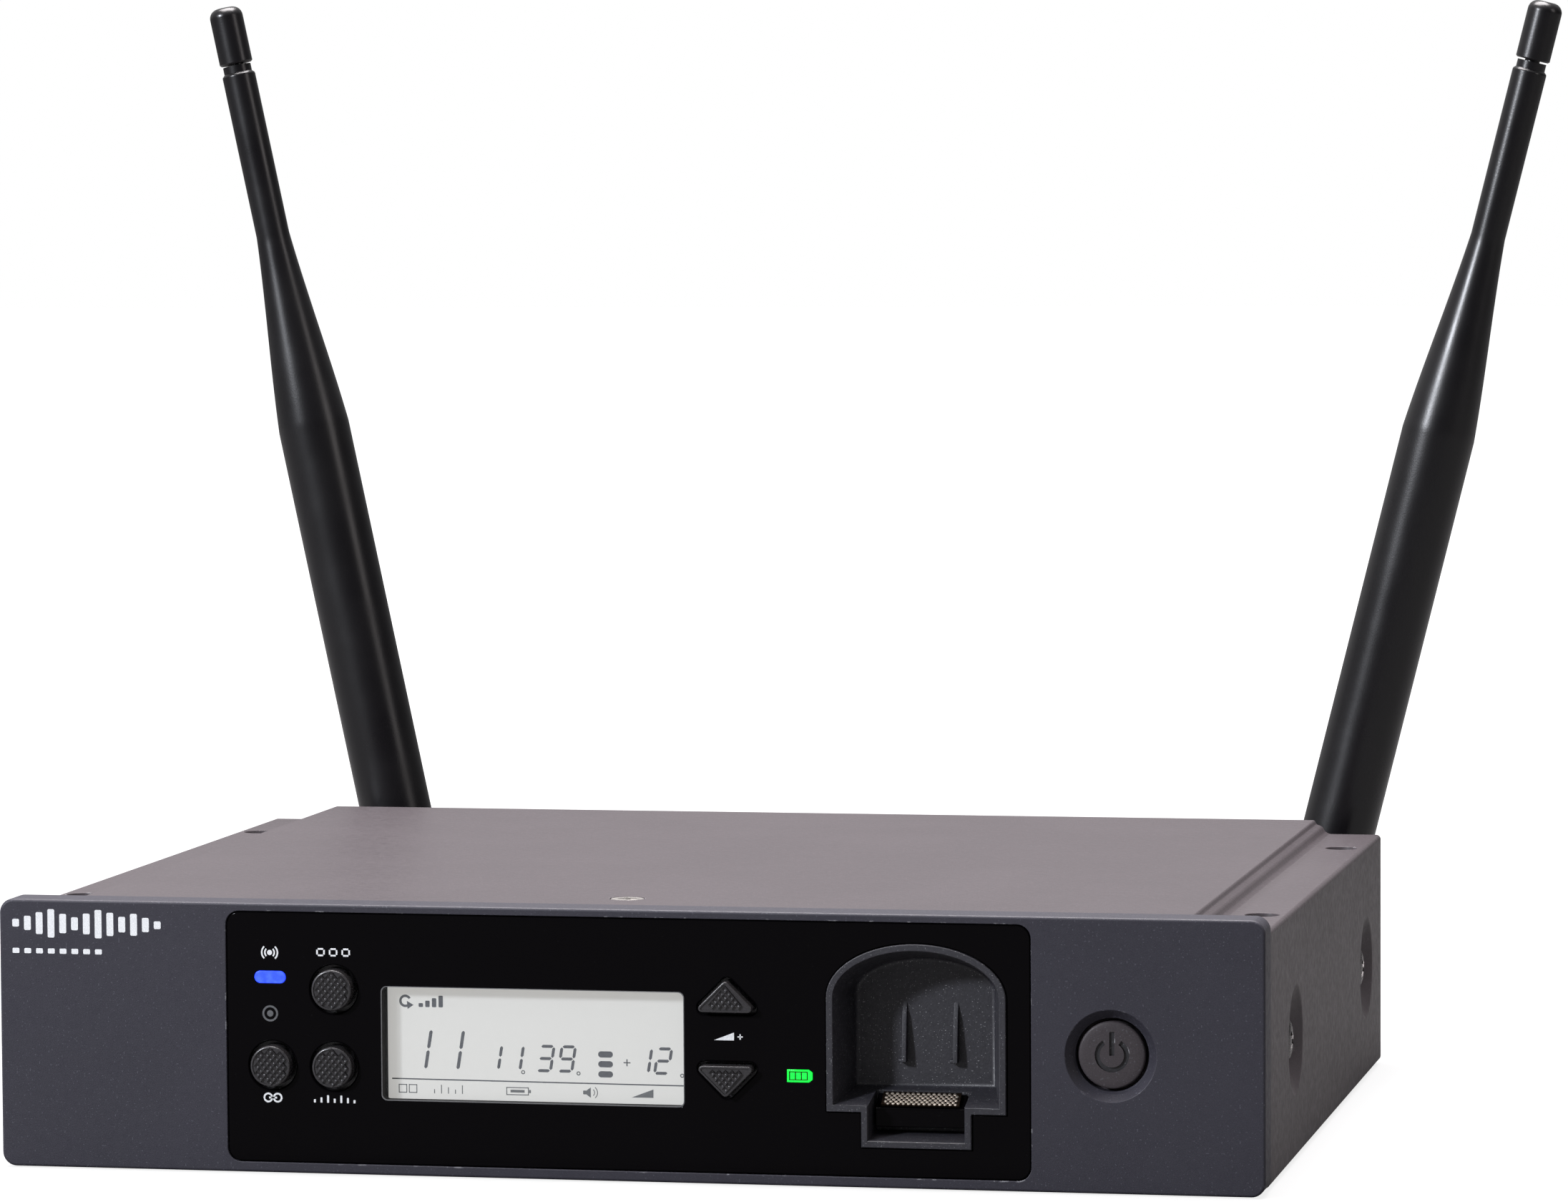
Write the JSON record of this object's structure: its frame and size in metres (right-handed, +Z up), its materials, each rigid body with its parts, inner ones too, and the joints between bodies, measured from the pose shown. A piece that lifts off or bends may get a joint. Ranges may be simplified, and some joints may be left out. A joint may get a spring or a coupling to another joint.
{
  "type": "wireless receiver unit",
  "caption": "Half-rack wireless microphone receiver with display, front keys, battery charging bay, rear audio outputs and folding whip antennas that swivel.",
  "frame": {"origin": "centre of the flat underside, midway between the front face and the rear panel", "axes": "+X to the right seen from the front, +Y towards the rear panel, +Z up"},
  "size_m": [0.2402, 0.1753, 0.1829],
  "materials": {
    "casting_paint": "fine textured satin charcoal",
    "cover_paint": "fine textured satin warm grey",
    "panel_gloss": "polished black",
    "clear_window": "clear",
    "lcd_white": "off-white, backlit",
    "key_black": "knurled black",
    "liner_grey": "fine speckled texture",
    "blue_lamp": "lit",
    "green_lamp": "lit",
    "contact_bronze": "dimpled",
    "circuit_green": "solder mask",
    "plated_metal": "nickel plated",
    "screw_steel": "plated",
    "black_plastic": "moulded",
    "antenna_black": "satin"
  },
  "bodies": {
    "case": {"front_bezel": "casting_paint", "display_panel": "panel_gloss", "lcd_window": "clear_window", "lcd_glass": "lcd_white", "lcd_backlight": "lcd_white", "rf_light_pipe": "blue_lamp", "battery_light_pipe": "green_lamp", "battery_bay": "liner_grey", "charge_contact_block": "panel_gloss", "charge_contact_plate": "contact_bronze", "front_board": "circuit_green", "power_board": "circuit_green", "charger_board": "circuit_green", "top_cover": "cover_paint", "chassis_base": "cover_paint", "main_board": "circuit_green", "left_tuner_shield": "plated_metal", "right_tuner_shield": "plated_metal", "audio_shield": "plated_metal", "xlr_shell": "plated_metal", "xlr_insert": "black_plastic", "jack_socket": "black_plastic", "jack_nut": "plated_metal", "dc_inlet": "black_plastic", "level_switch_body": "plated_metal", "top_screw": "screw_steel", "left_front_case_screw": "screw_steel", "left_rear_case_screw": "screw_steel", "left_lower_bezel_screw": "screw_steel", "left_upper_bezel_screw": "screw_steel", "left_antenna_socket": "plated_metal", "right_front_case_screw": "screw_steel", "right_rear_case_screw": "screw_steel", "right_lower_bezel_screw": "screw_steel", "right_upper_bezel_screw": "screw_steel", "right_antenna_socket": "plated_metal", "board_screw_1": "screw_steel", "board_screw_2": "screw_steel", "board_screw_3": "screw_steel", "board_screw_4": "screw_steel", "xlr_upper_screw": "screw_steel", "xlr_lower_screw": "screw_steel"},
    "group_key": {"group_button": "key_black"},
    "link_key": {"link_button": "key_black"},
    "channel_key": {"channel_button": "key_black"},
    "gain_up_key": {"gain_up_button": "key_black"},
    "gain_down_key": {"gain_down_button": "key_black"},
    "power_key": {"power_button": "casting_paint"},
    "level_slider": {"level_switch_knob": "black_plastic"},
    "left_swivel": {"left_antenna_collar": "plated_metal", "left_antenna_knuckle": "antenna_black", "left_antenna_pin": "screw_steel"},
    "left_mast": {"left_antenna_whip": "antenna_black", "left_antenna_tip": "antenna_black"},
    "right_swivel": {"right_antenna_collar": "plated_metal", "right_antenna_knuckle": "antenna_black", "right_antenna_pin": "screw_steel"},
    "right_mast": {"right_antenna_whip": "antenna_black", "right_antenna_tip": "antenna_black"}
  },
  "joints": [
    {"name": "group_press", "type": "slide", "parent": "case", "child": "group_key", "axis": [0, 1, 0], "range_m": [0, 0.0006], "stiffness_N_per_m": 1500},
    {"name": "link_press", "type": "slide", "parent": "case", "child": "link_key", "axis": [0, 1, 0], "range_m": [0, 0.0006], "stiffness_N_per_m": 1500},
    {"name": "channel_press", "type": "slide", "parent": "case", "child": "channel_key", "axis": [0, 1, 0], "range_m": [0, 0.0006], "stiffness_N_per_m": 1500},
    {"name": "gain_up_press", "type": "slide", "parent": "case", "child": "gain_up_key", "axis": [0, 1, 0], "range_m": [0, 0.0006], "stiffness_N_per_m": 1500},
    {"name": "gain_down_press", "type": "slide", "parent": "case", "child": "gain_down_key", "axis": [0, 1, 0], "range_m": [0, 0.0006], "stiffness_N_per_m": 1500},
    {"name": "power_press", "type": "slide", "parent": "case", "child": "power_key", "axis": [0, 1, 0], "range_m": [0, 0.0009], "stiffness_N_per_m": 1200},
    {"name": "level_slide", "type": "slide", "parent": "case", "child": "level_slider", "axis": [1, 0, 0], "range_m": [0, 0.004]},
    {"name": "left_antenna_turn", "type": "hinge", "parent": "case", "child": "left_swivel", "pos_m": [-0.0762, 0.0836, 0.0208], "axis": [0, 1, 0], "range_deg": [-78, 56]},
    {"name": "left_antenna_fold", "type": "hinge", "parent": "left_swivel", "child": "left_mast", "pos_m": [-0.0762, 0.0915, 0.0208], "axis": [-0.9785, 0, -0.2062], "range_deg": [0, 90]},
    {"name": "right_antenna_turn", "type": "hinge", "parent": "case", "child": "right_swivel", "pos_m": [0.0847, 0.0836, 0.0208], "axis": [0, 1, 0], "range_deg": [-59, 75]},
    {"name": "right_antenna_fold", "type": "hinge", "parent": "right_swivel", "child": "right_mast", "pos_m": [0.0847, 0.0915, 0.0208], "axis": [-0.9699, 0, 0.2436], "range_deg": [0, 90]}
  ]
}
